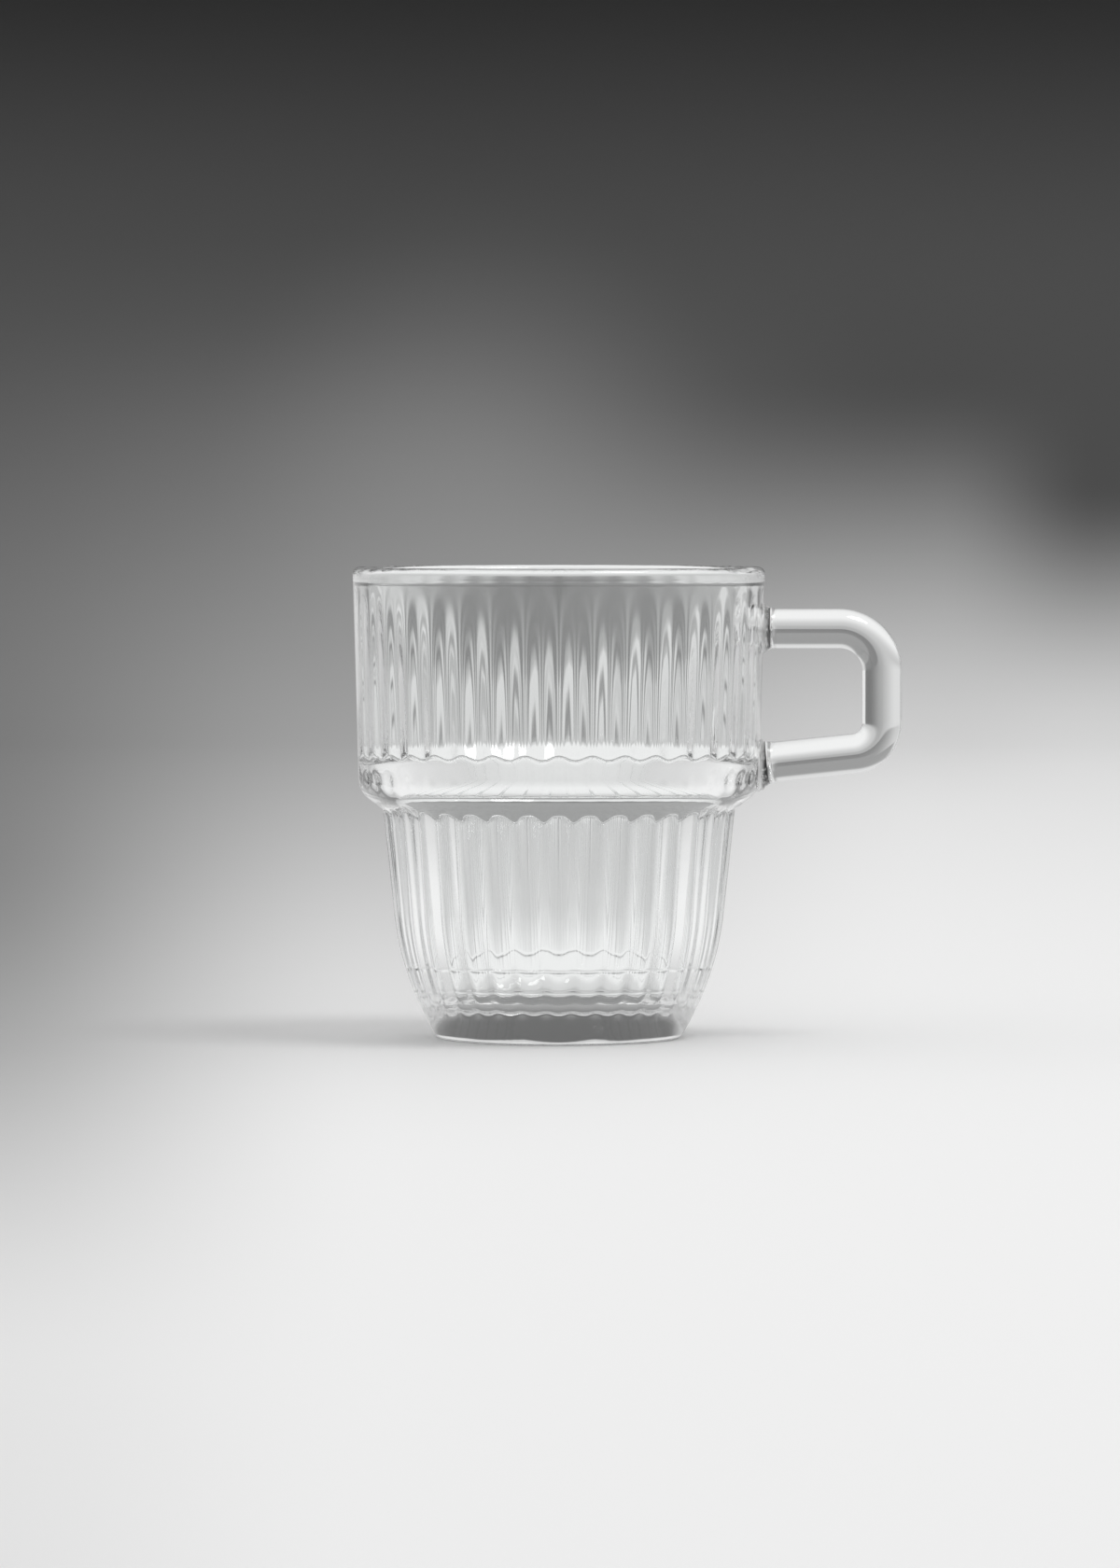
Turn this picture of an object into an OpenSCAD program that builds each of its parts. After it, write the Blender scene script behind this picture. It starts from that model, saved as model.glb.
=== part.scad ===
// Small pressed-glass coffee mug, stackable, with ribs inside its upper wall,
// reeds outside its lower wall and a bent glass rod for a handle.
// Origin: centre of the flat base, on the floor. +Z up, the handle towards +X.

/* [Cup] */
// Height from the base to the top of the lip
cup_height = 83.3; // [78:0.1:90]
// Outer radius at the rim
rim_r = 36.5; // [35.5:0.1:39]
// Thickness of the wall at the rim, where the lip is a full round
rim_wall = 2.6; // [2.2:0.1:3.2]
// Outer radius that the upper wall tapers to, where it would meet the shoulder
waist_r = 35.4; // [34.8:0.1:36.4]
// Slope of the shoulder above the horizontal
shoulder_angle = 34; // [25:1:42]
// Radius that rounds the shoulder's edge
shoulder_round_r = 4.5; // [2:0.1:6]

/* [Lower wall] */
// Height at which the lower wall meets the shoulder
lower_height = 40.6; // [36:0.1:43]
// Outer radius of the lower wall where it meets the shoulder
lower_r = 31.2; // [30:0.1:32]
// Lean of the lower wall from the vertical, above its bend
lower_lean = 6; // [3:0.5:8]
// Height at which the lower wall starts to bend in
bend_height = 22.2; // [18:0.1:26]
// Radius of the bend in the lower wall
bend_r = 52; // [46:0.5:60]
// Rounding of the edge round the base
foot_edge_r = 0.8; // [0.4:0.1:1.2]

/* [Inside] */
// Thickness of the lower wall, outside the reeds
bowl_wall = 3.9; // [3.4:0.1:4.6]
// Thickness of the solid base
base_thickness = 6.2; // [5:0.1:9]
// Rounding between the bowl's wall and its floor
floor_round_r = 5; // [3:0.1:7]
// Height of the inner ledge, where the ribs end on a neck that slopes in
ledge_height = 49.8; // [48:0.1:54]
// Inner radius at the ledge, across the crests of the ribs
ledge_r = 32.1; // [31.2:0.1:32.4]
// Fall of the neck, from the ledge down to where the bowl's wall begins
neck_drop = 6.1; // [5:0.1:8]

/* [Flutes] */
// Number of ribs inside, and of reeds outside
flute_count = 36; // [24:1:40]
// Depth of the grooves between the ribs, at the ledge
rib_depth = 0.55; // [0.4:0.05:0.7]
// Radius of the grooves between the ribs
rib_groove_r = 4.5; // [3.5:0.1:5]
// Height at which the grooves between the ribs fade out
rib_fade_height = 80; // [74:0.5:81]
// Depth of the grooves between the reeds, at the shoulder
reed_depth = 1.6; // [1:0.1:1.8]
// Depth of the same grooves where the lower wall starts to bend in
reed_middle_depth = 0.8; // [0.6:0.1:1.2]
// Radius of the grooves between the reeds
reed_groove_r = 1.9; // [1.2:0.1:2.1]
// Height at which the grooves between the reeds fade out
reed_fade_height = 5; // [3:0.1:7]

/* [Handle] */
// Diameter of the handle's rod
rod_d = 7; // [5.5:0.1:8]
// How much smaller the rod's radius is round its bends
bend_thinning = 0.06; // [0.04:0.01:0.1]
// Height of the upper arm's middle line
upper_arm_height = 72.4; // [70:0.1:75]
// Reach from the cup's axis to the middle line of the grip
grip_reach = 57.2; // [54:0.1:64]
// Height of the lower arm's middle line where it turns into the grip
lower_arm_height = 50.8; // [50:0.1:52]
// Slope at which the lower arm falls towards the cup
lower_arm_slope = 6; // [0:0.5:8]
// Radius of the upper bend, at the rod's middle line
upper_bend_r = 7.5; // [4.5:0.1:10]
// Radius of the lower bend, at the rod's middle line
lower_bend_r = 5.4; // [4.5:0.1:8]
// Length over which the rod swells towards the upper weld
upper_weld_length = 2.4; // [1.5:0.1:4]
// Growth of the rod's radius at the upper weld
upper_weld_flare = 1.1; // [0.4:0.1:1.4]
// Length over which the rod swells towards the lower weld
lower_weld_length = 3.4; // [2:0.1:5]
// Growth of the rod's radius at the lower weld
lower_weld_flare = 1.6; // [0.4:0.1:1.8]

/* [Hidden] */
$fn = 96;
overrun = 2;
arc_steps = 8;
corner_steps = 5;
lip_r = rim_wall / 2;
lip_height = cup_height - lip_r;
lip_centre_r = rim_r - lip_r;
flute_step = 360 / flute_count;

// Point at a distance and an angle from a centre
function on_arc(centre, r, angle) = centre + r * [cos(angle), sin(angle)];

// Points along an arc, both ends included
function arc(centre, r, from, to, steps) =
    [for (i = [0 : steps]) on_arc(centre, r, from + (to - from) * i / steps)];

// Upper wall, shoulder and the edge that is rounded between them
wall_taper = (rim_r - waist_r) / (lip_height - lower_height);
wall_lean = atan(wall_taper);
shoulder_gap = waist_r - lower_r;
shoulder_corner = [waist_r, lower_height + shoulder_gap * tan(shoulder_angle)];
shoulder_turn = 90 - wall_lean - shoulder_angle;
shoulder_run = shoulder_round_r * tan(shoulder_turn / 2);
shoulder_top = shoulder_corner + shoulder_run * [sin(wall_lean), cos(wall_lean)];
shoulder_centre = shoulder_top - shoulder_round_r * [cos(wall_lean), -sin(wall_lean)];

// Lower wall: a straight stretch that leans in, then a bend down to the base
bend_start = [lower_r - (lower_height - bend_height) * tan(lower_lean), bend_height];
bend_centre = bend_start - bend_r * [cos(lower_lean), -sin(lower_lean)];
foot_angle = -asin((bend_centre[1] - foot_edge_r) / (bend_r - foot_edge_r));
foot_centre = on_arc(bend_centre, bend_r - foot_edge_r, foot_angle);

// Bowl: the lower wall's line again, set in by the wall's thickness
bowl_r = bend_r - bowl_wall;
neck_height = ledge_height - neck_drop;
bowl_top = [
    lower_r - bowl_wall / cos(lower_lean) + (neck_height - lower_height) * tan(lower_lean),
    neck_height];
floor_round_height = base_thickness + floor_round_r;
floor_angle = -asin((bend_centre[1] - floor_round_height) / (bowl_r - floor_round_r));
floor_centre = on_arc(bend_centre, bowl_r - floor_round_r, floor_angle);

// Outline of the solid cup, from the base's middle up to the lip
outer_points = concat(
    [[0, 0]],
    arc(foot_centre, foot_edge_r, -90, foot_angle, corner_steps),
    arc(bend_centre, bend_r, foot_angle, -lower_lean, arc_steps),
    [[lower_r, lower_height]],
    arc(shoulder_centre, shoulder_round_r, shoulder_angle - 90, -wall_lean, corner_steps),
    [[rim_r, lip_height]]);

// Outline of the hollow, from the lip down to the middle of the floor
inner_points = concat(
    [[rim_r - rim_wall, lip_height]],
    [[ledge_r, ledge_height]],
    [bowl_top],
    arc(bend_centre, bowl_r, -lower_lean, floor_angle, arc_steps),
    arc(floor_centre, floor_round_r, floor_angle, -90, corner_steps),
    [[0, base_thickness]]);

module cup_section() {
    polygon(concat(outer_points, inner_points));
    translate([lip_centre_r, lip_height]) circle(r = lip_r);
}

// One groove between two ribs: a rod whose outer side runs from full depth at
// the ledge to the wall's own surface at the height where it fades out
rib_wall_r = ledge_r + (rim_r - rim_wall - ledge_r)
    * (rib_fade_height - ledge_height) / (lip_height - ledge_height);
rib_lean = atan((rib_wall_r - ledge_r - rib_depth) / (rib_fade_height - ledge_height));
rib_groove_length = (cup_height - ledge_height) / cos(rib_lean) + 2 * overrun;
ledge_cut_slope = 50;
ledge_cut_height = ledge_height + rib_depth / 3;

module rib_groove() {
    translate([ledge_r + rib_depth, 0, ledge_height])
        rotate([0, rib_lean, 0])
            translate([-rib_groove_r, 0, -overrun])
                cylinder(r = rib_groove_r, h = rib_groove_length);
}

// Ring that keeps the grooves above a slope just over the ledge
module ledge_ring() {
    ring_in = ledge_r - overrun;
    ring_out = ledge_r + rib_depth + overrun;
    rise = tan(ledge_cut_slope);
    rotate_extrude()
        polygon([
            [ring_in, ledge_height - 2 * overrun],
            [ring_out, ledge_height - 2 * overrun],
            [ring_out, ledge_cut_height + (ring_out - ledge_r) * rise],
            [ring_in, ledge_cut_height + (ring_in - ledge_r) * rise]]);
}

module rib_grooves() {
    difference() {
        for (i = [0 : flute_count - 1])
            rotate([0, 0, i * flute_step]) rib_groove();
        ledge_ring();
    }
}

// One groove between two reeds: a rod bent in the upright plane. Its inner side
// runs on the arc through full depth at the shoulder, a point half way down and
// the wall's own surface at the height where it fades out
function centre_of(a, b, c) =
    let (ab = b - a, ac = c - a)
    a + [ac[1] * (ab * ab) - ab[1] * (ac * ac), ab[0] * (ac * ac) - ac[0] * (ab * ab)]
        / (2 * cross(ab, ac));

function bend_point(height) = on_arc(bend_centre, bend_r, -asin((bend_centre[1] - height) / bend_r));

reed_top = [lower_r - reed_depth, lower_height];
reed_middle = bend_point(bend_height) - [reed_middle_depth, 0];
reed_end = bend_point(reed_fade_height);
reed_centre = centre_of(reed_top, reed_middle, reed_end);
reed_path_r = norm(reed_top - reed_centre);
reed_run_out = asin(overrun / reed_path_r);
reed_high = asin((reed_top[1] - reed_centre[1]) / reed_path_r) + reed_run_out;
reed_low = asin((reed_end[1] - reed_centre[1]) / reed_path_r) - reed_run_out;
scallop_slope = 40;
clear_slope = 25;

module reed_groove() {
    translate([reed_centre[0], 0, reed_centre[1]])
        rotate([90, 0, 0])
            rotate([0, 0, reed_low])
                rotate_extrude(angle = reed_high - reed_low)
                    translate([reed_path_r + reed_groove_r, 0]) circle(r = reed_groove_r);
}

// Ring that keeps the grooves under the shoulder, so that they end in scallops
module shoulder_ring() {
    ring_in = lower_r - 2 * reed_groove_r;
    ring_out = lower_r + 3 * reed_groove_r;
    ring_top = lower_height + 3 * overrun;
    rotate_extrude()
        polygon([
            [ring_in, lower_height - (lower_r - ring_in) * tan(scallop_slope)],
            [lower_r, lower_height],
            [ring_out, lower_height + (ring_out - lower_r) * tan(clear_slope)],
            [ring_out, ring_top],
            [ring_in, ring_top]]);
}

module reed_grooves() {
    difference() {
        for (i = [0 : flute_count - 1])
            rotate([0, 0, (i + 0.5) * flute_step]) reed_groove();
        shoulder_ring();
    }
}

module glass_body() {
    color([0.86, 0.89, 0.90, 0.4])
        difference() {
            rotate_extrude() cup_section();
            rib_grooves();
            reed_grooves();
        }
}

// Handle: its middle line runs in the upright plane through the cup's axis, from
// the upper weld along the upper arm, down the grip and back to the lower weld.
// The rod is a trace thinner round its bends, which run a little way into it
rod_r = rod_d / 2;
upper_centre = [grip_reach - upper_bend_r, upper_arm_height - upper_bend_r];
lower_turn = 90 - lower_arm_slope;
lower_centre = [grip_reach - lower_bend_r, lower_arm_height + lower_bend_r * tan(lower_turn / 2)];
grip_length = upper_centre[1] - lower_centre[1];
upper_weld_r = rim_r - (lip_height - upper_arm_height) * wall_taper;
lower_arm_end = on_arc(lower_centre, lower_bend_r, -lower_turn);
lower_weld_r = waist_r;
lower_arm_run = lower_arm_end[0] - lower_weld_r;
lower_weld_height = lower_arm_end[1] - lower_arm_run * tan(lower_arm_slope);
bend_run_in = 3;

// Straight arm along +X that starts inside the cup and is swollen at the weld
module arm(length, swell_length, flare) {
    swell_r = (swell_length * swell_length + flare * flare) / (2 * flare);
    swell_angle = asin(swell_length / swell_r);
    rotate([0, 90, 0])
        rotate_extrude()
            polygon(concat(
                [[0, -overrun], [rod_r + flare, -overrun]],
                arc([rod_r + swell_r, swell_length], swell_r, 180 + swell_angle, 180, corner_steps),
                [[rod_r, length], [0, length]]));
}

// Bend of the rod from one angle to another about its centre
module rod_bend(centre, bend_radius, from, to) {
    translate([centre[0], 0, centre[1]])
        rotate([90, 0, 0])
            rotate([0, 0, from - bend_run_in])
                rotate_extrude(angle = to - from + 2 * bend_run_in)
                    translate([bend_radius, 0]) circle(r = rod_r - bend_thinning);
}

module rod() {
    translate([upper_weld_r, 0, upper_arm_height])
        arm(upper_centre[0] - upper_weld_r, upper_weld_length, upper_weld_flare);
    rod_bend(upper_centre, upper_bend_r, 0, 90);
    translate([grip_reach, 0, lower_centre[1]])
        cylinder(r = rod_r, h = grip_length);
    rod_bend(lower_centre, lower_bend_r, -lower_turn, 0);
    translate([lower_weld_r, 0, lower_weld_height])
        rotate([0, -lower_arm_slope, 0])
            arm(lower_arm_run / cos(lower_arm_slope), lower_weld_length, lower_weld_flare);
}

module handle() {
    color([0.86, 0.89, 0.90, 0.4])
        difference() {
            rod();
            rotate_extrude() polygon(concat(outer_points, [[0, lip_height]]));
        }
}

glass_body();
handle();
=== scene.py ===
import math

import bmesh
import bpy
from mathutils import Matrix, Vector


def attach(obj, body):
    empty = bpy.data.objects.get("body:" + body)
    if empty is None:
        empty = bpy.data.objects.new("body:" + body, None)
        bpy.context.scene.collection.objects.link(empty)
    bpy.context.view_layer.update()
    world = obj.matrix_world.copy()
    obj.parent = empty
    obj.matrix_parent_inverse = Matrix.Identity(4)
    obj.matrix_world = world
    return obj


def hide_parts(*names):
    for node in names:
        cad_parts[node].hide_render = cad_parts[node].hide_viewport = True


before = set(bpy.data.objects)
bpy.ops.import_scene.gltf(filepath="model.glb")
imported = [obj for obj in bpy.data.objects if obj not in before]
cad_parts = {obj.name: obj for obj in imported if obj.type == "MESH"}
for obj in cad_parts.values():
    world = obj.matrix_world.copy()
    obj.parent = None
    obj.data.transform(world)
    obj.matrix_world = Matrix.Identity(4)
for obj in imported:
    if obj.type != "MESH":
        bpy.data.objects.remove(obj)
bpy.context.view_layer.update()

# Sizes in metres, as in the part's source. This scene's own are the depth and swelling of
# the ribs, the fine rings, the curve of the rod's swellings and the small roundings of the
# ledge, the neck and the scalloped line.
CUP_HEIGHT = 0.0833
RIM_R = 0.0365
RIM_WALL = 0.0026
WAIST_R = 0.0354
SHOULDER_ANGLE = math.radians(34)
SHOULDER_ROUND = 0.0045
LOWER_HEIGHT = 0.0406
LOWER_R = 0.0312
LOWER_LEAN = math.radians(6)
BEND_HEIGHT = 0.0222
BEND_R = 0.052
FOOT_R = 0.0008
BOWL_WALL = 0.0039
BASE_THICK = 0.0062
FLOOR_ROUND = 0.005
LEDGE_HEIGHT = 0.0498
LEDGE_R = 0.0321
LEDGE_ROUND = 0.0005
NECK_HEIGHT = 0.0437
NECK_ROUND = 0.003
# Fine rings that the pressing leaves inside: height, rise, half width
BOWL_RINGS = ((0.0133, 0.00006, 0.0002), (0.0096, 0.00004, 0.0002))
LIP_RING = (0.0807, 0.00004, 0.0003)
FLUTES = 36
RIB_DEPTH = 0.00062
RIB_FADE = 0.080
RIB_SWELL = 0.0001
REED_DEPTH = 0.0016
REED_MIDDLE = 0.0008
REED_FADE = 0.0050
# Fall of the scalloped line in a groove, as a share of the groove's depth
SCALLOP_FALL = 0.84
SCALLOP_ROUND = 0.00045
ROD_R = 0.0035
UPPER_ARM = 0.0724
GRIP_REACH = 0.0572
LOWER_ARM = 0.0508
ARM_SLOPE = math.radians(6)
UPPER_BEND = 0.0075
LOWER_BEND = 0.0054
# Swelling of the rod at each weld: its length, the growth of the radius, and its curve
UPPER_SWELL = (0.0024, 0.0011)
LOWER_SWELL = (0.0034, 0.0016)
SWELL_CURVE = 2.4

LIP_R = RIM_WALL / 2
LIP_HEIGHT = CUP_HEIGHT - LIP_R
LIP_CENTRE = RIM_R - LIP_R
TAPER = (RIM_R - WAIST_R) / (LIP_HEIGHT - LOWER_HEIGHT)
WALL_LEAN = math.atan(TAPER)


# Outlines

def arc(centre, radius, start, end, steps):
    """Points along an arc in the upright plane, both ends included; angles in radians."""
    return [
        (centre[0] + radius * math.cos(start + (end - start) * i / steps),
         centre[1] + radius * math.sin(start + (end - start) * i / steps))
        for i in range(steps + 1)
    ]


def line(start, end, steps):
    """Points along a straight stretch, without its first point."""
    return [
        (start[0] + (end[0] - start[0]) * i / steps, start[1] + (end[1] - start[1]) * i / steps)
        for i in range(1, steps + 1)
    ]


# A corner's curve takes up no more than this share of either side
MOST_EASED = 0.45


def eased(before, corner, after, reach, steps):
    """A corner turned into a small curve that starts and ends at reach from it."""
    def towards(point):
        length = math.dist(corner, point)
        share = min(reach / length, MOST_EASED)
        return tuple(corner[k] + (point[k] - corner[k]) * share for k in (0, 1))
    a, b = towards(before), towards(after)
    curve = []
    for i in range(steps + 1):
        t = i / steps
        curve.append(tuple(
            (1 - t) ** 2 * a[k] + 2 * t * (1 - t) * corner[k] + t ** 2 * b[k] for k in (0, 1)))
    return curve


def ringed(points, height, rise, half_width):
    """Points down an inner wall, with a fine raised ring round it at a height."""
    above = [p for p in points if p[1] > height + half_width]
    below = [p for p in points if p[1] < height - half_width]
    (top_r, top), (foot_r, foot) = above[-1], below[0]
    ring = []
    for z, inward in ((height + half_width, 0), (height, rise), (height - half_width, 0)):
        share = (top - z) / (top - foot)
        ring.append((top_r + share * (foot_r - top_r) - inward, z))
    return above + ring + below


BEND_START = (LOWER_R - (LOWER_HEIGHT - BEND_HEIGHT) * math.tan(LOWER_LEAN), BEND_HEIGHT)
BEND_CENTRE = (BEND_START[0] - BEND_R * math.cos(LOWER_LEAN),
               BEND_START[1] + BEND_R * math.sin(LOWER_LEAN))
FOOT_ANGLE = -math.asin((BEND_CENTRE[1] - FOOT_R) / (BEND_R - FOOT_R))
FOOT_CENTRE = (BEND_CENTRE[0] + (BEND_R - FOOT_R) * math.cos(FOOT_ANGLE), FOOT_R)
SHOULDER_CORNER = (WAIST_R, LOWER_HEIGHT + (WAIST_R - LOWER_R) * math.tan(SHOULDER_ANGLE))
SHOULDER_RUN = SHOULDER_ROUND * math.tan((math.pi / 2 - WALL_LEAN - SHOULDER_ANGLE) / 2)
SHOULDER_TOP = (SHOULDER_CORNER[0] + SHOULDER_RUN * math.sin(WALL_LEAN),
                SHOULDER_CORNER[1] + SHOULDER_RUN * math.cos(WALL_LEAN))
SHOULDER_CENTRE = (SHOULDER_TOP[0] - SHOULDER_ROUND * math.cos(WALL_LEAN),
                   SHOULDER_TOP[1] + SHOULDER_ROUND * math.sin(WALL_LEAN))
BOWL_R = BEND_R - BOWL_WALL
BOWL_TOP = (LOWER_R - BOWL_WALL / math.cos(LOWER_LEAN)
            + (NECK_HEIGHT - LOWER_HEIGHT) * math.tan(LOWER_LEAN), NECK_HEIGHT)
FLOOR_ANGLE = -math.asin((BEND_CENTRE[1] - BASE_THICK - FLOOR_ROUND) / (BOWL_R - FLOOR_ROUND))
FLOOR_CENTRE = (BEND_CENTRE[0] + (BOWL_R - FLOOR_ROUND) * math.cos(FLOOR_ANGLE),
                BASE_THICK + FLOOR_ROUND)


def reed_depth(height):
    """Depth of the grooves between the reeds at a height on the lower wall."""
    if height <= REED_FADE:
        return 0.0
    if height < BEND_HEIGHT:
        return REED_MIDDLE * ((height - REED_FADE) / (BEND_HEIGHT - REED_FADE)) ** 0.5
    gain = (REED_DEPTH - REED_MIDDLE) * (height - BEND_HEIGHT) / (LOWER_HEIGHT - BEND_HEIGHT)
    return REED_MIDDLE + gain


# Rows of points down the ribs
RIB_ROWS = 26


def outline(groove):
    """The cup's outline from the middle of its base to the middle of its floor, taken
    across the crests (groove 0) or along the grooves (groove 1)."""
    points = [(FOOT_CENTRE[0] * i / 4, 0.0) for i in range(4)]
    points += arc(FOOT_CENTRE, FOOT_R, -math.pi / 2, FOOT_ANGLE, 7)
    reeds = arc(BEND_CENTRE, BEND_R, FOOT_ANGLE, -LOWER_LEAN, 30)[1:]
    points += [(r - groove * reed_depth(z), z) for r, z in reeds]
    scallop = (LOWER_R - groove * REED_DEPTH, LOWER_HEIGHT - groove * REED_DEPTH * SCALLOP_FALL)
    below = (BEND_START[0] - groove * REED_MIDDLE, BEND_HEIGHT)
    shoulder = arc(SHOULDER_CENTRE, SHOULDER_ROUND, SHOULDER_ANGLE - math.pi / 2, -WALL_LEAN, 9)
    corner = eased(below, scallop, shoulder[0], SCALLOP_ROUND, 4)
    points += line(below, corner[0], 16) + corner[1:]
    points += line(corner[-1], shoulder[0], 5) + shoulder[1:]
    points += line(SHOULDER_TOP, (RIM_R, LIP_HEIGHT), 30)
    points += arc((LIP_CENTRE, LIP_HEIGHT), LIP_R, 0, math.pi, 16)[1:]

    # Inside: the ribs run down to a ledge, whose edge waves with them, and swell a
    # little on the way
    inner_top = (RIM_R - RIM_WALL, LIP_HEIGHT)
    inner_taper = (LEDGE_R - inner_top[0]) * (LIP_HEIGHT - RIB_FADE) / (LIP_HEIGHT - LEDGE_HEIGHT)
    fade = (inner_top[0] + inner_taper, RIB_FADE)
    neck_slope = (LEDGE_HEIGHT - NECK_HEIGHT) / (LEDGE_R - BOWL_TOP[0])
    edge = (LEDGE_R + groove * RIB_DEPTH, LEDGE_HEIGHT + groove * RIB_DEPTH * neck_slope)
    bowl = arc(BEND_CENTRE, BOWL_R, -LOWER_LEAN, FLOOR_ANGLE, 26)
    edge_curve = eased(fade, edge, BOWL_TOP, LEDGE_ROUND, 6)
    neck_curve = eased(edge_curve[-1], BOWL_TOP, bowl[0], NECK_ROUND, 6)
    points += ringed([inner_top] + line(inner_top, fade, 3), *LIP_RING)[1:]
    points += [(r + groove * RIB_SWELL * math.sin(math.pi * i / (RIB_ROWS + 1)), z)
               for i, (r, z) in enumerate(line(fade, edge_curve[0], RIB_ROWS), 1)]
    points += edge_curve[1:]
    points += line(edge_curve[-1], neck_curve[0], 8) + neck_curve[1:]

    # The bowl, its fine rings and its floor
    lower = line(neck_curve[-1], bowl[0], 14) + bowl[1:]
    lower += arc(FLOOR_CENTRE, FLOOR_ROUND, FLOOR_ANGLE, -math.pi / 2, 10)[1:]
    for ring in BOWL_RINGS:
        lower = ringed(lower, *ring)
    points += lower
    points += line((FLOOR_CENTRE[0], BASE_THICK), (0.0, BASE_THICK), 4)
    return points


def outer_r(height):
    """Radius of the cup's outside at a height on the upper wall or the shoulder's edge."""
    if height >= SHOULDER_TOP[1]:
        return RIM_R - (LIP_HEIGHT - height) * TAPER
    drop = height - SHOULDER_CENTRE[1]
    return SHOULDER_CENTRE[0] + math.sqrt(SHOULDER_ROUND ** 2 - drop ** 2)


# Node trees

class Value:
    """One value in a node tree, so that its maths reads as arithmetic."""

    def __init__(self, tree, socket):
        self.tree = tree
        self.socket = socket

    def maths(self, operation, *others):
        return self.tree.add(
            "ShaderNodeMath", {"operation": operation}, dict(enumerate((self,) + others)))

    def __add__(self, other):
        return self.maths("ADD", other)

    __radd__ = __add__

    def __mul__(self, other):
        return self.maths("MULTIPLY", other)

    __rmul__ = __mul__

    def __sub__(self, other):
        return self.maths("SUBTRACT", other)

    def __rsub__(self, other):
        return self.tree.add("ShaderNodeMath", {"operation": "SUBTRACT"}, {0: other, 1: self})

    def __truediv__(self, other):
        return self.maths("DIVIDE", other)

    def __gt__(self, other):
        return self.maths("GREATER_THAN", other)

    def __lt__(self, other):
        return self.maths("LESS_THAN", other)

    def size(self):
        return self.maths("ABSOLUTE")

    def root(self):
        return self.maths("SQRT")


class Tree:
    """A node tree that is built node by node."""

    def __init__(self, tree):
        self.nodes = tree.nodes
        self.links = tree.links
        self.nodes.clear()

    def add(self, kind, settings=None, sockets=None, out=0):
        """A node with its settings and socket values; gives its output as a Value."""
        node = self.nodes.new(kind)
        for key, value in (settings or {}).items():
            setattr(node, key, value)
        for key, value in (sockets or {}).items():
            if isinstance(value, Value):
                self.links.new(value.socket, node.inputs[key])
            else:
                node.inputs[key].default_value = value
        return Value(self, node.outputs[out]) if len(node.outputs) else node

    def more(self, value, out):
        """Another output of the node that a Value comes from."""
        return Value(self, value.socket.node.outputs[out])

    def parts(self, vector):
        """The three parts of a vector, each as a Value."""
        x = self.add("ShaderNodeSeparateXYZ", {}, {0: vector})
        return x, self.more(x, 1), self.more(x, 2)

    def grey(self, tone):
        """A neutral colour of a tone."""
        return self.add("ShaderNodeCombineColor", {}, {0: tone, 1: tone, 2: tone})

    def ramp(self, value, low, high, to_low=0.0, to_high=1.0):
        """A smooth step of a value between two limits."""
        return self.add("ShaderNodeMapRange", {"interpolation_type": "SMOOTHSTEP"},
                        {0: value, 1: low, 2: high, 3: to_low, 4: to_high})

    def mix(self, factor, a, b):
        """A colour between two others."""
        return self.add("ShaderNodeMix", {"data_type": "RGBA"}, {0: factor, 6: a, 7: b}, 2)


def new_material(name):
    material = bpy.data.materials.new(name)
    material.use_nodes = True
    return material, Tree(material.node_tree)


# Glass

GLASS_COLOUR = (0.985, 0.992, 0.990, 1)
GLASS_IOR = 1.5


def glass_shader(tree, wave_scale, wave_depth):
    """Clear glass whose surface carries the faint unevenness of its making."""
    place = tree.add("ShaderNodeTexCoord", out="Object")
    unevenness = tree.add("ShaderNodeTexNoise", {}, {
        "Vector": place, "Scale": wave_scale, "Detail": 1.0, "Roughness": 0.4})
    normal = tree.add("ShaderNodeBump", {}, {
        "Strength": 1.0, "Distance": wave_depth, "Height": unevenness})
    return tree.add("ShaderNodeBsdfPrincipled", {}, {
        "Base Color": GLASS_COLOUR, "Roughness": 0.0, "IOR": GLASS_IOR,
        "Transmission Weight": 1.0, "Normal": normal})


def surface(tree, shader):
    """The shader set as the material's surface."""
    tree.add("ShaderNodeOutputMaterial", {}, {"Surface": shader})


def opened(tree, glass, share):
    """Glass that is see-through to a share, set as the material's surface."""
    clear = tree.add("ShaderNodeBsdfTransparent")
    surface(tree, tree.add("ShaderNodeMixShader", {}, {0: share, 1: glass, 2: clear}))


UPPER_WELD = (outer_r(UPPER_ARM), UPPER_ARM)
LOWER_CENTRE = (GRIP_REACH - LOWER_BEND,
                LOWER_ARM + LOWER_BEND * math.tan((math.pi / 2 - ARM_SLOPE) / 2))
LOWER_ARM_END = (LOWER_CENTRE[0] + LOWER_BEND * math.sin(ARM_SLOPE),
                 LOWER_CENTRE[1] - LOWER_BEND * math.cos(ARM_SLOPE))
LOWER_WELD = (WAIST_R, LOWER_ARM_END[1] - (LOWER_ARM_END[0] - WAIST_R) * math.tan(ARM_SLOPE))
# Each weld: its place, its arm's slope and the rod's radius there
WELDS = ((UPPER_WELD, 0.0, ROD_R + UPPER_SWELL[1]),
         (LOWER_WELD, ARM_SLOPE, ROD_R + LOWER_SWELL[1]))
# The glass opens outside this radius only, and up to a hair inside the weld's edge
OPEN_FROM_R = 0.034
WELD_EDGE = 0.00005
# Gap to the wall at which the rod starts to melt into it, and ends; share melted there
MELT_START, MELT_END, MELTED = 0.0011, 0.0004, 0.7


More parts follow.
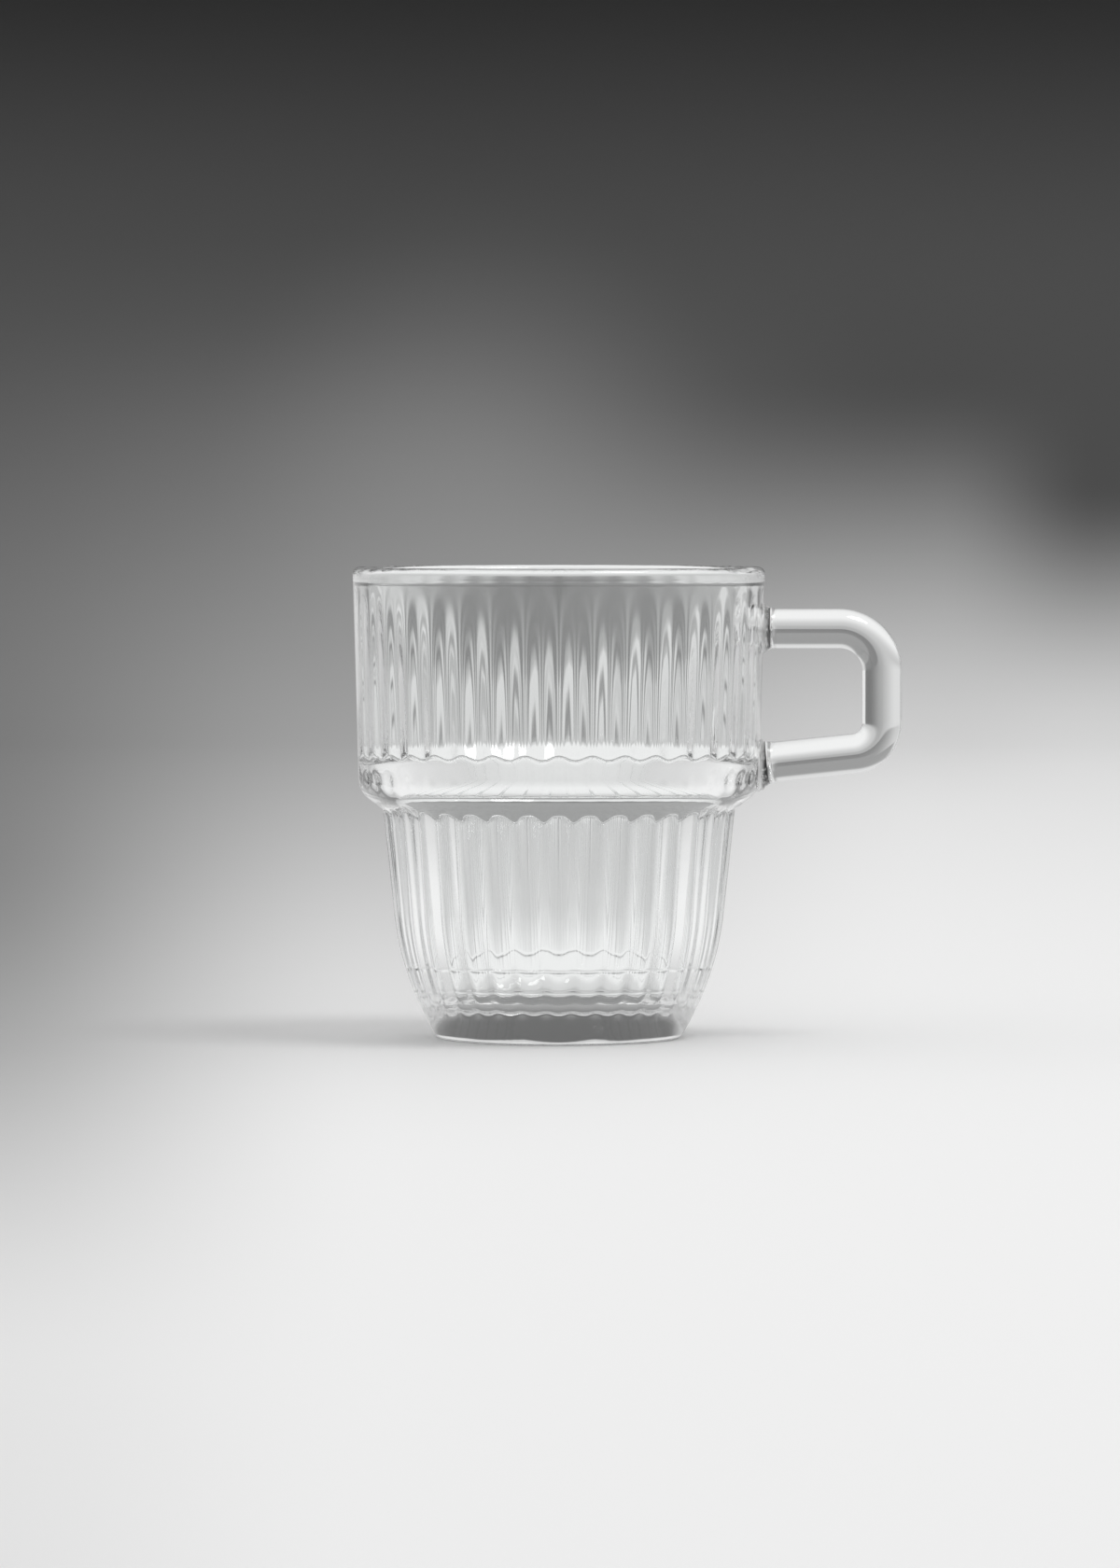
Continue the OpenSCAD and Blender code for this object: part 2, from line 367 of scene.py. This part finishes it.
def pressed_glass():
    """The cup's glass, open where the handle's rod is fused to it."""
    material, tree = new_material("pressed_clear_glass")
    glass = glass_shader(tree, wave_scale=160, wave_depth=0.00002)
    x, y, z = tree.parts(tree.add("ShaderNodeTexCoord", out="Object"))
    outside = ((x * x + y * y).root() > OPEN_FROM_R) * (x > 0)
    open_weld = None
    for (weld_r, height), slope, swollen_r in WELDS:
        off = (z - height - (x - weld_r) * math.tan(slope)) * math.cos(slope)
        inside = ((off * off + y * y).root() < swollen_r - WELD_EDGE) * outside
        open_weld = inside if open_weld is None else open_weld + inside
    opened(tree, glass, open_weld)
    return material


def rod_glass():
    """The rod's glass, which melts into the cup's wall over the last stretch of each swelling."""
    material, tree = new_material("drawn_clear_glass")
    glass = glass_shader(tree, wave_scale=110, wave_depth=0.00003)
    x, y, z = tree.parts(tree.add("ShaderNodeTexCoord", out="Object"))
    gap = (x * x + y * y).root() - WAIST_R - (z - LOWER_HEIGHT) * TAPER
    opened(tree, glass, tree.ramp(gap, MELT_START, MELT_END, 0.0, MELTED))
    return material


def fused_end():
    """The rod's end inside the weld, where there is no surface between the two glasses."""
    material, tree = new_material("fused_rod_end")
    surface(tree, tree.add("ShaderNodeBsdfTransparent"))
    return material


# Fluted body: one outline turned round the axis, waving between crests and grooves

STEPS_PER_FLUTE = 10
FULLNESS = 0.5
# Keeps a whole row number from being rounded down, and closes the seam and both middles
ROW_NUDGE = 0.00001
SEAL_GAP = 0.000001


def fluted_tree():
    """Geometry nodes that turn a line of points into a fluted glass wall."""
    group = bpy.data.node_groups.new("fluted_wall", "GeometryNodeTree")
    group.is_modifier = True
    for name, kind in (("Outline", "Geometry"), ("Rows", "Int"), ("Flutes", "Int"),
                       ("Steps per flute", "Int"), ("Fullness of reeds", "Float"),
                       ("Glass", "Material")):
        group.interface.new_socket(name, in_out="INPUT", socket_type="NodeSocket" + kind)
    group.interface.new_socket("Wall", in_out="OUTPUT", socket_type="NodeSocketGeometry")
    tree = Tree(group)
    given = tree.add("NodeGroupInput")
    points, rows, flutes, steps, fullness, glass = (tree.more(given, i) for i in range(6))
    columns = flutes * steps + 1
    sheet = tree.add("GeometryNodeMeshGrid", {}, {
        "Size X": 1.0, "Size Y": 1.0, "Vertices X": rows, "Vertices Y": columns})
    number = tree.add("GeometryNodeInputIndex")
    row = (number / columns + ROW_NUDGE).maths("FLOOR")
    column = number - row * columns
    angle = column / (columns - 1) * (2 * math.pi)
    wave = (angle * flutes).maths("COSINE")
    crest_wave = wave + fullness * (1 - wave * wave)

    def sampled(name):
        """A value that the outline carries at this row."""
        source = tree.add("GeometryNodeInputNamedAttribute", {"data_type": "FLOAT"}, {"Name": name})
        return tree.add("GeometryNodeSampleIndex", {"data_type": "FLOAT", "domain": "POINT"}, {
            "Geometry": points, "Value": source, "Index": row})

    swing = wave + (crest_wave - wave) * sampled("outside")
    radius = sampled("reach") + sampled("reach_swing") * swing
    level = sampled("height") + sampled("height_swing") * swing
    point = tree.add("ShaderNodeCombineXYZ", {}, {
        0: radius * angle.maths("COSINE"), 1: radius * angle.maths("SINE"), 2: level})
    placed = tree.add("GeometryNodeSetPosition", {}, {"Geometry": sheet, "Position": point})
    sealed = tree.add("GeometryNodeMergeByDistance", {}, {"Geometry": placed, "Distance": SEAL_GAP})
    smooth = tree.add("GeometryNodeSetShadeSmooth", {}, {"Geometry": sealed, "Shade Smooth": True})
    real = tree.add("GeometryNodeRealizeInstances", {}, {"Geometry": smooth})
    painted = tree.add("GeometryNodeSetMaterial", {}, {"Geometry": real, "Material": glass})
    tree.add("NodeGroupOutput", {}, {"Wall": painted})
    return group


def plain_mesh(source, name):
    """A new object with the evaluated mesh of another, which then goes."""
    graph = bpy.context.evaluated_depsgraph_get()
    mesh = bpy.data.meshes.new_from_object(source.evaluated_get(graph), depsgraph=graph)
    mesh.name = name
    source.modifiers.clear()
    bpy.data.objects.remove(source)
    made = bpy.data.objects.new(name, mesh)
    bpy.context.collection.objects.link(made)
    return made


def outward(mesh):
    """All faces of a closed mesh turned outwards."""
    work = bmesh.new()
    work.from_mesh(mesh)
    bmesh.ops.recalc_face_normals(work, faces=work.faces)
    if work.calc_volume(signed=True) < 0:
        bmesh.ops.reverse_faces(work, faces=work.faces)
    work.to_mesh(mesh)
    work.free()


def fluted_body():
    """The cup, from its outlines across the crests and along the grooves."""
    crests, grooves = outline(0), outline(1)
    top = max(range(len(crests)), key=lambda i: crests[i][1])
    mesh = bpy.data.meshes.new("outline")
    edges = [(i, i + 1) for i in range(len(crests) - 1)]
    mesh.from_pydata([(r, 0, z) for r, z in crests], edges, [])
    carried = {
        "reach": [(c[0] + g[0]) / 2 for c, g in zip(crests, grooves)],
        "height": [(c[1] + g[1]) / 2 for c, g in zip(crests, grooves)],
        # outside, a wave's top is a reed's crest; inside, it is a groove
        "reach_swing": [abs(c[0] - g[0]) / 2 for c, g in zip(crests, grooves)],
        "height_swing": [abs(c[1] - g[1]) / 2 for c, g in zip(crests, grooves)],
        "outside": [1.0 if i < top else 0.0 for i in range(len(crests))],
    }
    for name, values in carried.items():
        mesh.attributes.new(name, "FLOAT", "POINT").data.foreach_set("value", values)
    source = bpy.data.objects.new("outline", mesh)
    bpy.context.collection.objects.link(source)
    modifier = source.modifiers.new("flutes", "NODES")
    modifier.node_group = fluted_tree()
    inputs = {"Rows": len(crests), "Flutes": FLUTES, "Steps per flute": STEPS_PER_FLUTE,
              "Fullness of reeds": FULLNESS, "Glass": pressed_glass()}
    for item in modifier.node_group.interface.items_tree:
        if item.in_out == "INPUT" and item.name in inputs:
            modifier[item.identifier] = inputs[item.name]
    body = plain_mesh(source, "fluted_body")
    outward(body.data)
    return body


# Handle: a rod bent in the upright plane, swollen where it is fused to the cup

ROUND_STEPS = 48
BEND_STEPS = 20
SWELL_STEPS = 10
# Rounds in which a point of a weld closes in on the cup's surface
FIT_ROUNDS = 20
# Radii of the rings that close the rod's ends, as shares of the end's own
END_SHARES = (1.0, 0.75, 0.5, 0.25)


def swollen(distance, length, flare):
    """Radius of the rod at a distance from its weld, where it has swollen by the flare."""
    return ROD_R + flare * (1 - distance / length) ** SWELL_CURVE


def swelling(weld, slope, swell, heading, steps):
    """The rod at some of the steps out from a weld, as point, heading and radius."""
    path = []
    for i in steps:
        d = swell[0] * i / SWELL_STEPS
        point = (weld[0] + d * math.cos(slope), weld[1] + d * math.sin(slope))
        path.append((point, heading, swollen(d, *swell)))
    return path


def straight(start, end, heading, steps):
    """The rod along a straight stretch, without its first point."""
    return [(point, heading, ROD_R) for point in line(start, end, steps)]


def bend(centre, radius, start, end):
    """The rod round a bend between two angles, without its first point."""
    points = arc(centre, radius, start, end, BEND_STEPS)[1:]
    return [(point, start + (end - start) * i / BEND_STEPS - math.pi / 2, ROD_R)
            for i, point in enumerate(points, 1)]


def handle_path():
    """Points of the rod's middle line, each with its heading and the rod's radius there,
    from the upper weld to the lower one."""
    upper = (GRIP_REACH - UPPER_BEND, UPPER_ARM - UPPER_BEND)
    down, back = -math.pi / 2, math.pi + ARM_SLOPE
    path = swelling(UPPER_WELD, 0.0, UPPER_SWELL, 0.0, range(1, SWELL_STEPS + 1))
    path += straight((UPPER_WELD[0] + UPPER_SWELL[0], UPPER_ARM), (upper[0], UPPER_ARM), 0.0, 12)
    path += bend(upper, UPPER_BEND, math.pi / 2, 0.0)
    path += straight((GRIP_REACH, upper[1]), (GRIP_REACH, LOWER_CENTRE[1]), down, 10)
    path += bend(LOWER_CENTRE, LOWER_BEND, 0.0, ARM_SLOPE - math.pi / 2)
    swell_start = (LOWER_WELD[0] + LOWER_SWELL[0] * math.cos(ARM_SLOPE),
                   LOWER_WELD[1] + LOWER_SWELL[0] * math.sin(ARM_SLOPE))
    path += straight(LOWER_ARM_END, swell_start, back, 12)
    path += swelling(LOWER_WELD, ARM_SLOPE, LOWER_SWELL, back, range(SWELL_STEPS - 1, 0, -1))
    return path


def weld_ring(centre, slope, radius):
    """Ring of points on the cup's surface, found along the arm's own line."""
    ring = []
    for k in range(ROUND_STEPS):
        t = 2 * math.pi * k / ROUND_STEPS
        y, rise = radius * math.sin(t), radius * math.cos(t)
        x = centre[0]
        for _ in range(FIT_ROUNDS):
            z = centre[1] + (x - centre[0]) * math.tan(slope) + rise / math.cos(slope)
            x = math.sqrt(outer_r(z) ** 2 - y * y)
        ring.append(Vector((x, y, z)))
    return ring


def bent_rod():
    """The handle: rings along the rod's path, closed at both ends on the cup's surface."""
    rings = []
    for (x, z), heading, radius in handle_path():
        up = Vector((-math.sin(heading), 0, math.cos(heading)))
        side = Vector((0, 1, 0))
        middle = Vector((x, 0, z))
        rings.append([middle + radius * (math.cos(t) * up + math.sin(t) * side)
                      for t in (2 * math.pi * k / ROUND_STEPS for k in range(ROUND_STEPS))])
    first = [weld_ring(*WELDS[0][:2], WELDS[0][2] * share) for share in reversed(END_SHARES)]
    # the lower arm runs back to the cup, so its rings turn the other way
    last = []
    for share in END_SHARES:
        ring = weld_ring(*WELDS[1][:2], WELDS[1][2] * share)
        last.append([ring[(ROUND_STEPS // 2 - k) % ROUND_STEPS] for k in range(ROUND_STEPS)])
    rings = first + rings + last
    points = [p for ring in rings for p in ring]
    points.append(Vector((outer_r(UPPER_WELD[1]), 0, UPPER_WELD[1])))
    points.append(Vector((outer_r(LOWER_WELD[1]), 0, LOWER_WELD[1])))
    n = ROUND_STEPS
    closing = len(END_SHARES)
    faces, ends = [], []
    for r in range(len(rings) - 1):
        for k in range(n):
            m = (k + 1) % n
            faces.append((r * n + k, r * n + m, (r + 1) * n + m, (r + 1) * n + k))
            ends.append(r < closing - 1 or r >= len(rings) - closing)
    last_ring = (len(rings) - 1) * n
    for k in range(n):
        m = (k + 1) % n
        faces.append((len(points) - 2, m, k))
        faces.append((len(points) - 1, last_ring + k, last_ring + m))
        ends += [True, True]
    mesh = bpy.data.meshes.new("bent_handle")
    mesh.from_pydata(points, [], faces)
    mesh.materials.append(rod_glass())
    mesh.materials.append(fused_end())
    mesh.polygons.foreach_set("material_index", [int(e) for e in ends])
    mesh.polygons.foreach_set("use_smooth", [not e for e in ends])
    mesh.update()
    outward(mesh)
    handle = bpy.data.objects.new("bent_handle", mesh)
    bpy.context.collection.objects.link(handle)
    return handle


body = fluted_body()
handle = bent_rod()
for piece, node in ((body, "glass_body"), (handle, "handle")):
    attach(piece, "root")
    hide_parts(node)


# Stage: a round pale floor that sweeps up, with painted shade that makes it darker towards the back
# and its left

STATION = 1.47
STATION_HEIGHT = 0.1
FLAT_R, RISE_R, SWEEP_STEPS = 1.6, 0.8, 96
FLAT_RINGS = (0.15, 0.4, 0.8, 1.2)
RISE_DEGREES = range(0, 86, 5)


def sweep_mesh():
    """A flat disc whose edge rises in almost a quarter circle."""
    rings = [(r, 0.0) for r in FLAT_RINGS]
    rings += [(FLAT_R + RISE_R * math.sin(t), RISE_R * (1 - math.cos(t)))
              for t in map(math.radians, RISE_DEGREES)]
    turns = [2 * math.pi * k / SWEEP_STEPS for k in range(SWEEP_STEPS)]
    points = [Vector((0, 0, 0))]
    points += [Vector((r * math.cos(t), r * math.sin(t), z)) for r, z in rings for t in turns]
    faces = [(0, 1 + k, 1 + (k + 1) % SWEEP_STEPS) for k in range(SWEEP_STEPS)]
    for i in range(len(rings) - 1):
        a = 1 + i * SWEEP_STEPS
        for k in range(SWEEP_STEPS):
            m = (k + 1) % SWEEP_STEPS
            faces.append((a + k, a + SWEEP_STEPS + k, a + SWEEP_STEPS + m, a + m))
    mesh = bpy.data.meshes.new("studio_sweep")
    mesh.from_pydata(points, [], faces)
    mesh.polygons.foreach_set("use_smooth", [True] * len(mesh.polygons))
    mesh.update()
    return mesh


# Tones of the room: its pale screens, and its dim opening at the bottom and higher up
ROOM_PALE, ROOM_DIM, ROOM_DIM_HIGH = 0.70, 0.12, 0.30
# The room's dim opening, by the parts of a direction: its middle, where its sides, top and
# front fade, and where it grows paler upwards
OPENING_MIDDLE = 0.05
OPENING_SIDE, OPENING_TOP, OPENING_FRONT = (0.60, 0.80), (0.55, 0.75), (0.3, 0.0)
OPENING_CLIMB = (0.07, 0.18)
# Height over the floor from which directions are counted
EYE_HEIGHT = 0.05
# Tones of the paper with its painted shade: darkest high on the sweep, at the horizon, and at its
# palest
PAPER_HIGH, PAPER_BACK, PAPER_PALE = 0.025, 0.095, 0.90
# How painted light makes the paper paler with the fall of the line of sight, at four places
# across the view, as steps of a share between two falls; and where one place changes over to the
# next
PALE_FAR_LEFT = ((0.20, -0.03, 0.035), (0.68, 0.045, 0.11))
PALE_LEFT = ((0.09, -0.03, 0.0), (0.55, -0.02, 0.06), (0.35, 0.035, 0.085))
PALE_RIGHT = ((1.0, -0.012, 0.042),)
PALE_FAR_RIGHT = ((1.0, 0.001, 0.036),)
TO_LEFT, TO_RIGHT, TO_FAR_RIGHT = (-0.075, -0.02), (-0.02, 0.045), (0.045, 0.065)
# Falls between which the paper's painted shade fades from its top to the horizon
DARK_FALL = (-0.07, -0.02)
# A faint painted pool of light near the horizon: its place in the view, its reach and its tone
SPOT_ACROSS, SPOT_FALL, SPOT_REACH, LIGHT_POOL_TONE = -0.010, -0.002, 0.035, 0.06
# Beside the view, and far out on the floor, the paper turns into the room between these
BESIDE_VIEW, INTO_ROOM = (0.09, 0.20), (0.6, 1.3)
# Painted tones that glass shows of the paper, as painted reflections and refractions: screens
# at both sides, with their near and far parts, and a dim strip between them
LEFT_SCREEN, LEFT_NEAR, LEFT_FAR = 0.56, 0.44, 0.82
RIGHT_SCREEN, RIGHT_NEAR, RIGHT_FAR = 0.66, 0.72, 0.38
STRIP, STRIP_HALF_WIDTH = 0.20, 0.13
# Reach at which a screen's near part turns into its far part
NEAR_TO_FAR = (1.5, 1.75)
# Sideways parts of a direction: where the left screen changes from its plain outer side to
# its near and far parts, the right one from those to its plain side, and left into right
LEFT_DEPTH, RIGHT_DEPTH, LEFT_TO_RIGHT = (-0.75, -0.45), (0.66, 0.84), (-0.30, -0.06)
# Where glass looks down: the floor further off, nearer, close by, and a painted shadow under the
# mug
FLOOR_OFF, FLOOR_NEARER, FLOOR_CLOSE, PAINTED_CONTACT_SHADOW = 0.56, 0.90, 0.76, 0.30
# Upward parts of a direction where these change over, up to the screens and then the room,
# and the reach at which the painted shadow under the mug ends
CLOSE_TO_NEARER, NEARER_TO_OFF = (-0.80, -0.45), (-0.30, -0.08)
OFF_TO_SCREENS, SCREENS_TO_ROOM = (-0.10, -0.030), (0.0, 0.03)
UNDER_MUG = (0.012, 0.035)
# Painted tones that the handle's rod shows, at its dim side, its pale side and its pale edge
ROD_DIM, ROD_PALE, ROD_EDGE = 0.15, 0.72, 0.72
ROD_DIM_ABOVE, ROD_PALE_ABOVE = 0.20, 0.60
# Sideways parts of a direction where its tones change over
ROD_SPAN, ROD_RIM, ROD_SPAN_ABOVE = (0.6, -0.5), (0.73, 0.80), (0.10, -0.60)
# Surfaces that light has met: straight through the rod, and turned back once in the base
THROUGH_ROD, TURNED_BACK = 2, 3
# How much light that turned back is drawn in sideways, and raised, to paint shade in the base
TURNED_IN, TURNED_UP = 0.22, 0.05


def room_tone(tree, x, y, z):
    """Tone of the studio in a direction: pale screens all round and overhead, with a dim
    opening behind the sweep, a little to its right, that grows paler upwards."""
    dim = tree.ramp(z, *OPENING_CLIMB, ROOM_DIM, ROOM_DIM_HIGH)
    aside = tree.ramp((x - OPENING_MIDDLE).size(), *OPENING_SIDE)
    off = tree.ramp(z, *OPENING_TOP).maths("MAXIMUM", aside)
    off = off.maths("MAXIMUM", tree.ramp(y, *OPENING_FRONT))
    return dim + (ROOM_PALE - dim) * off


def stepped(tree, value, steps):
    """Sum of smooth steps of a value, each given as its share and its two limits."""
    total = None
    for share, low, high in steps:
        step = share * tree.ramp(value, low, high)
        total = step if total is None else total + step
    return total


def painted_paper_shading(tree, x, y, z):
    """The paper's colour with painted light and shade, which changes across the view from the
    camera's place and with the fall of the line of sight; and how far a point lies beside that
    view, from 0 to 1."""
    away = (y + STATION).maths("MAXIMUM", 0.4)
    fall = (STATION_HEIGHT - z) / away
    across = x / away
    # painted light: the paper grows paler as the line of sight falls, by different steps across the
    # view
    pale = stepped(tree, fall, PALE_FAR_LEFT)
    for steps, change_over in (
            (PALE_LEFT, TO_LEFT), (PALE_RIGHT, TO_RIGHT), (PALE_FAR_RIGHT, TO_FAR_RIGHT)):
        pale = pale + (stepped(tree, fall, steps) - pale) * tree.ramp(across, *change_over)
    # a faint painted pool of light near the horizon
    spot_x, spot_y = across - SPOT_ACROSS, fall - SPOT_FALL
    off_spot = (spot_x * spot_x + spot_y * spot_y).root()
    spot = tree.ramp(off_spot, 0.0, SPOT_REACH, LIGHT_POOL_TONE, 0.0)
    # painted shade: the paper darkens from the horizon up the sweep
    dark = tree.ramp(fall, *DARK_FALL, PAPER_HIGH, PAPER_BACK)
    tone = dark + (PAPER_PALE - dark) * pale.maths("MAXIMUM", 0.0) + spot
    return tone, tree.ramp(across.size(), *BESIDE_VIEW)


def after(tree, rays, surfaces):
    """1 for light that has met just so many surfaces of glass, and 0 for other light."""
    return (tree.more(rays, "Ray Depth") - surfaces).size() < 0.5


def painted_tones_in_glass(tree, rays, way, reach):
    """Painted tones that glass shows of the paper, in a direction and at a reach from the mug:
    painted reflections and refractions with painted shade. It stands for a studio's screens, and
    isn't the paper's own tone."""
    x, y, z = way
    left_deep = tree.ramp(reach, *NEAR_TO_FAR, LEFT_NEAR, LEFT_FAR)
    left = tree.ramp(x, *LEFT_DEPTH, LEFT_SCREEN, left_deep)
    right_deep = tree.ramp(reach, *NEAR_TO_FAR, RIGHT_NEAR, RIGHT_FAR)
    right = tree.ramp(x, *RIGHT_DEPTH, right_deep, RIGHT_SCREEN)
    side = left + (right - left) * tree.ramp(x, *LEFT_TO_RIGHT)
    side = side + (STRIP - side) * tree.ramp(x.size(), STRIP_HALF_WIDTH, 0.0)
    # light that has met two surfaces, as straight through the handle's rod, gets a painted even
    # step from dim to pale
    once = after(tree, rays, THROUGH_ROD)
    through = tree.ramp(x, *ROD_SPAN, ROD_DIM, ROD_PALE) + tree.ramp(x, *ROD_RIM, 0.0, ROD_EDGE)
    side = side + (through - side) * once
    floor = tree.ramp(z, *NEARER_TO_OFF, FLOOR_NEARER, FLOOR_OFF)
    floor = floor * tree.ramp(z, *CLOSE_TO_NEARER, FLOOR_CLOSE, 1.0)
    bright = floor + (side - floor) * tree.ramp(z, *OFF_TO_SCREENS)
    # light that turns back once inside the thick base leaves it low; all light that has met three
    # surfaces is drawn in and raised so that it meets the dim opening, as painted shade in the base
    turned = after(tree, rays, TURNED_BACK)
    above = room_tone(tree, x * (1 - TURNED_IN * turned), y, z)
    # light that has met two surfaces and goes upwards gets a painted step from dim to pale as well
    rod_above = once * tree.ramp(x, *ROD_SPAN_ABOVE, ROD_DIM_ABOVE, ROD_PALE_ABOVE)
    above = above.maths("MAXIMUM", rod_above)
    bright = bright + (above - bright) * tree.ramp(z + TURNED_UP * turned, *SCREENS_TO_ROOM)
    # painted shadow where glass looks at the floor under the mug
    return bright * tree.ramp(reach, *UNDER_MUG, PAINTED_CONTACT_SHADOW, 1.0)


def sweep_paper():
    """Pale paper whose colour carries painted light and shade, which blends into the room's tone at
    both sides of the view.
    """
    material, tree = new_material("pale_sweep_painted_light")
    point = tree.add("ShaderNodeTexCoord", out="Object")
    x, y, z = tree.parts(point)
    reach = (x * x + y * y).root()
    out = tree.add("ShaderNodeVectorMath", {"operation": "SUBTRACT"}, {
        0: point, 1: (0, 0, EYE_HEIGHT)})
    way = tree.parts(tree.add("ShaderNodeVectorMath", {"operation": "NORMALIZE"}, {0: out}))
    room = room_tone(tree, *way)
    tone, beside = painted_paper_shading(tree, x, y, z)
    # beside the view and far out, the paper's colour takes the room's tones, as painted light and
    # shade
    tone = tone + (room - tone) * (beside * tree.ramp(reach, *INTO_ROOM))
    paper = tree.add("ShaderNodeBsdfPrincipled", {}, {
        "Base Color": tree.grey(tone), "Roughness": 1.0, "Specular IOR Level": 0.0})
    # what glass mirrors or lets through is painted: the paper glows with tones of its own for it,
    # without the mug's shadow
    rays = tree.add("ShaderNodeLightPath", out="Is Glossy Ray")
    shown = (rays + tree.more(rays, "Is Transmission Ray")).maths("MINIMUM", 1.0)
    shown = shown * (tree.more(rays, "Diffuse Depth") < 0.5)
    painted_glow = tree.add("ShaderNodeEmission", {}, {
        "Color": tree.grey(painted_tones_in_glass(tree, rays, way, reach))})
    surface(tree, tree.add("ShaderNodeMixShader", {}, {0: shown, 1: paper, 2: painted_glow}))
    return material


# The floor lies a hair under the base, so that the two don't share a face
FLOOR_DROP = 0.0001

floor_mesh = sweep_mesh()
floor_mesh.materials.append(sweep_paper())
floor = bpy.data.objects.new("studio_sweep", floor_mesh)
bpy.context.collection.objects.link(floor)
floor.location.z = -FLOOR_DROP


# One soft lamp, high to the right and in front: place, aim, width and power
LAMP_PLACE, LAMP_AIM = (0.75, -0.4, 1.9), (0, 0, 0.04)
LAMP_WIDTH, LAMP_WATTS = 0.8, 9

lamp_data = bpy.data.lights.new("soft_lamp", "AREA")
lamp_data.shape = "DISK"
lamp_data.size = LAMP_WIDTH
lamp_data.energy = LAMP_WATTS
lamp = bpy.data.objects.new("soft_lamp", lamp_data)
bpy.context.collection.objects.link(lamp)
# seen through the glass it would only leave specks
lamp.visible_transmission = False
lamp.location = LAMP_PLACE
lamp.rotation_mode = "QUATERNION"
lamp.rotation_quaternion = (Vector(LAMP_AIM) - Vector(LAMP_PLACE)).to_track_quat("-Z", "Y")

# World: even soft light for the surfaces, the room's own tones for what glass and camera see
SOFT_LIGHT = (0.80, 0.80, 0.80, 1)

world = bpy.data.worlds.new("studio")
bpy.context.scene.world = world
world.use_nodes = True
sky = Tree(world.node_tree)
rays = sky.add("ShaderNodeLightPath", out="Is Camera Ray")
seen = rays + sky.more(rays, "Is Glossy Ray") + sky.more(rays, "Is Transmission Ray")
seen = (seen * (sky.more(rays, "Diffuse Depth") < 0.5)).maths("MINIMUM", 1.0)
room = room_tone(sky, *sky.parts(sky.add("ShaderNodeTexCoord", out="Generated")))
background = sky.add("ShaderNodeBackground", {}, {
    "Color": sky.mix(seen, SOFT_LIGHT, sky.grey(room)), "Strength": 1.0})
sky.add("ShaderNodeOutputWorld", {}, {"Surface": background})

# Camera, level from side to side and tipped a little down
CAMERA_ASIDE = 0.0002
CAMERA_LENS = 190.7
CAMERA_PITCH = math.radians(2.149)

camera_data = bpy.data.cameras.new("camera")
camera_data.sensor_width = 36
camera_data.lens = CAMERA_LENS
camera_data.clip_start = 0.05
camera_data.clip_end = 20
camera = bpy.data.objects.new("camera", camera_data)
bpy.context.collection.objects.link(camera)
camera.matrix_world = (Matrix.Translation((CAMERA_ASIDE, -STATION, STATION_HEIGHT))
                       @ Matrix.Rotation(math.pi / 2 - CAMERA_PITCH, 4, "X"))
bpy.context.scene.camera = camera

bpy.context.scene.view_settings.view_transform = "Standard"

# Light runs a long way along thick glass walls before it leaves them
GLASS_BOUNCES = 40
GLOSSY_BOUNCES = 16

paths = bpy.context.scene.cycles
paths.max_bounces = GLASS_BOUNCES
paths.transmission_bounces = GLASS_BOUNCES
paths.glossy_bounces = GLOSSY_BOUNCES
